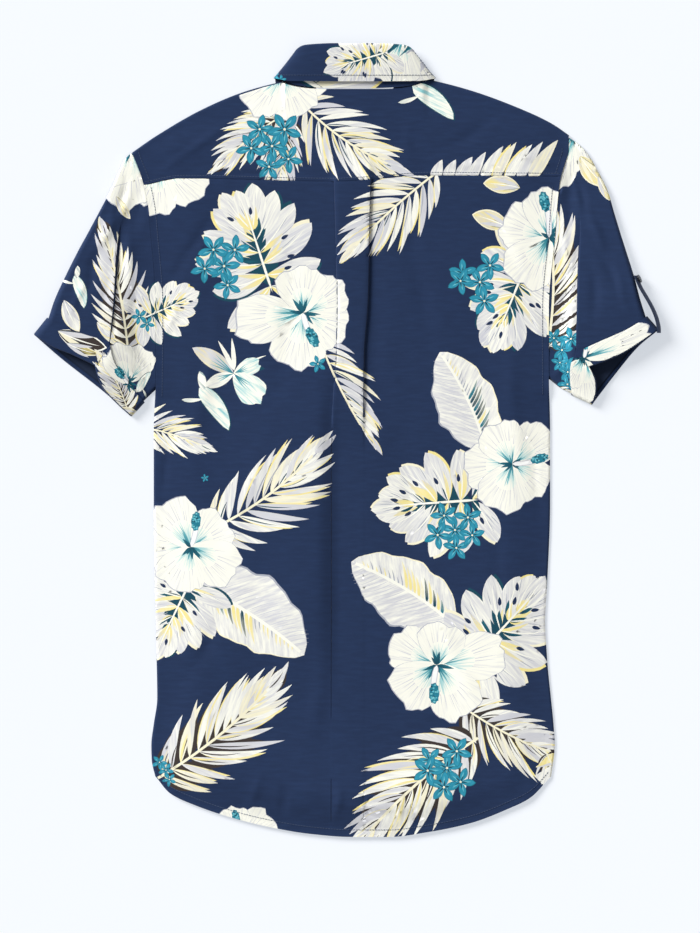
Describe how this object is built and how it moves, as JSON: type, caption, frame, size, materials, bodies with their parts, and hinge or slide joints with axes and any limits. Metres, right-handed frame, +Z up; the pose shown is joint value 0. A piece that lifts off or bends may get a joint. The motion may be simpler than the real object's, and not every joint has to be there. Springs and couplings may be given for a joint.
{
  "type": "hawaiian shirt",
  "caption": "Short-sleeved collared shirt with a large flower and leaf print, box pleat and rolled cuffs, lying flat with its back up.",
  "frame": {"origin": "centre of the shirt's outline, at the height of the surface it lies on", "axes": "+X towards the wearer's right sleeve (the shirt is seen from the back), +Y from the hem to the collar, +Z up from the surface"},
  "size_m": [0.612, 0.7748, 0.0139],
  "materials": {
    "cloth": "matt plain-woven cotton, printed with pale flowers and leaves on navy",
    "button": "smooth dark resin"
  },
  "bodies": {
    "root": {"back": "cloth", "yoke": "cloth", "left_front": "cloth", "right_front": "cloth", "left_sleeve": "cloth", "right_sleeve": "cloth", "left_cuff": "cloth", "right_cuff": "cloth", "roll_tab": "cloth", "collar_stand": "cloth", "collar_leaf": "cloth", "tab_button": "button", "collar_button": "button", "front_button_1": "button", "front_button_2": "button", "front_button_3": "button", "front_button_4": "button", "front_button_5": "button", "front_button_6": "button", "front_button_7": "button"}
  },
  "joints": []
}
